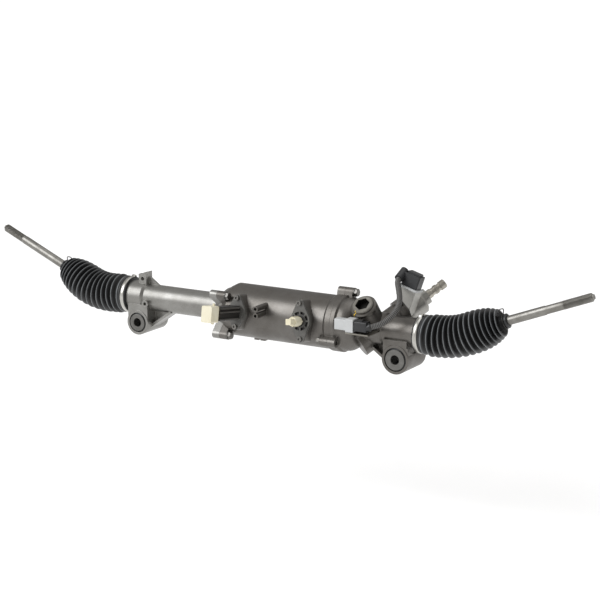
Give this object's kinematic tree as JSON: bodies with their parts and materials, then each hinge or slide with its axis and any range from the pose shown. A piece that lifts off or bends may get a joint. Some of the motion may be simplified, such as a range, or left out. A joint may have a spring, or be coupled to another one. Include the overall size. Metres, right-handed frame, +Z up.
{
  "type": "electric power steering rack",
  "caption": "Rack and pinion steering gear with a hollow-shaft electric motor round the rack, bellows boots, tie rods and mounting bushes.",
  "frame": {"origin": "middle of the bore of the left mounting bush", "axes": "+X along the rack towards the pinion side, +Y along both bush bores to the back, +Z up from the bushes to the rack"},
  "size_m": [1.3024, 0.2818, 0.1855],
  "materials": {
    "cast_light": "satin casting",
    "cast_dark": "satin casting",
    "plated_steel": "zinc plated",
    "bright_steel": "ground",
    "dark_steel": "phosphated",
    "rod_steel": "forged and coated",
    "copper": "enamelled wire",
    "magnet": "sintered",
    "rubber": "matt",
    "black_plastic": "matt moulded",
    "grey_plastic": "matt moulded",
    "cream_plastic": "matt moulded",
    "polymer_liner": "smooth"
  },
  "bodies": {
    "housing": {"left_rack_housing": "cast_light", "motor_housing": "cast_dark", "gear_housing": "cast_dark", "sensor_housing": "cast_light", "left_flange_bolts": "plated_steel", "right_flange_bolts": "plated_steel", "connector_screws": "dark_steel", "sensor_screws": "dark_steel", "left_mount_sleeve": "plated_steel", "right_mount_sleeve": "plated_steel", "left_mount_rubber": "rubber", "right_mount_rubber": "rubber", "rack_bush": "black_plastic", "large_motor_bearing": "bright_steel", "small_motor_bearing": "bright_steel", "stator_core": "dark_steel", "stator_windings": "copper", "angle_sensor_stator": "dark_steel", "power_connector": "black_plastic", "power_connector_cap": "cream_plastic", "angle_sensor_connector": "black_plastic", "angle_sensor_plug": "cream_plastic", "pinion_lower_bearing": "bright_steel", "pinion_upper_bearing": "bright_steel", "torque_coil": "black_plastic", "input_seal": "rubber", "sensor_plate": "grey_plastic", "sensor_header": "black_plastic", "rack_guide": "cast_light", "rack_guide_spring": "bright_steel", "rack_guide_plug": "cast_light", "rack_guide_locknut": "dark_steel", "harness_conduit": "black_plastic", "harness_plug": "black_plastic", "harness_receptacle": "grey_plastic", "harness_bracket": "plated_steel", "left_boot": "rubber", "left_boot_clamp": "plated_steel", "right_boot": "rubber", "right_boot_clamp": "plated_steel"},
    "rotor": {"rotor_shaft": "bright_steel", "rotor_magnets": "magnet", "ball_nut": "bright_steel", "angle_sensor_rotor": "dark_steel"},
    "rack": {"rack_bar": "bright_steel", "left_ball_socket": "dark_steel", "right_ball_socket": "dark_steel"},
    "pinion": {"pinion_shaft": "bright_steel", "torsion_bar": "bright_steel"},
    "input_shaft": {"input_shaft": "bright_steel", "torque_ring": "dark_steel"},
    "left_ball_seat": {"left_ball_seat": "polymer_liner"},
    "right_ball_seat": {"right_ball_seat": "polymer_liner"},
    "left_tie_rod": {"left_tie_rod": "rod_steel", "left_boot_clip": "bright_steel"},
    "right_tie_rod": {"right_tie_rod": "rod_steel", "right_boot_clip": "bright_steel"}
  },
  "joints": [
    {"name": "rotor_spin", "type": "hinge", "parent": "housing", "child": "rotor", "pos_m": [0.35, -0.005, 0.047], "axis": [1, 0, 0], "range_deg": [-4030, 3360]},
    {"name": "rack_slide", "type": "slide", "parent": "housing", "child": "rack", "axis": [1, 0, 0], "range_m": [-0.0655, 0.0785], "deforming": ["left_boot", "right_boot"]},
    {"name": "pinion_spin", "type": "hinge", "parent": "housing", "child": "pinion", "pos_m": [0.5105, 0.00464, 0.03551], "axis": [0.5592, 0.6351, 0.5329], "range_deg": [-445, 534]},
    {"name": "input_twist", "type": "hinge", "parent": "pinion", "child": "input_shaft", "pos_m": [0.5105, 0.00464, 0.03551], "axis": [0.5592, 0.6351, 0.5329], "range_deg": [-5, 5], "stiffness_Nm_per_rad": 130},
    {"name": "left_rise", "type": "hinge", "parent": "rack", "child": "left_ball_seat", "pos_m": [-0.1085, -0.005, 0.047], "axis": [0, 1, 0], "range_deg": [-45.7, 9.3]},
    {"name": "left_swing", "type": "hinge", "parent": "left_ball_seat", "child": "left_tie_rod", "pos_m": [-0.1085, -0.005, 0.047], "axis": [-0.3533, 0, -0.9355], "range_deg": [-25.1, 14.9]},
    {"name": "right_rise", "type": "hinge", "parent": "rack", "child": "right_ball_seat", "pos_m": [0.6615, -0.005, 0.047], "axis": [0, -1, 0], "range_deg": [-45.7, 9.3]},
    {"name": "right_swing", "type": "hinge", "parent": "right_ball_seat", "child": "right_tie_rod", "pos_m": [0.6615, -0.005, 0.047], "axis": [-0.3533, 0, 0.9355], "range_deg": [-25.1, 14.9]}
  ],
  "couplings": [
    {"joint": "rack_slide", "follows": "rotor_spin", "m_per_rad": -0.0011141},
    {"joint": "pinion_spin", "follows": "rotor_spin", "ratio": -0.13195}
  ]
}
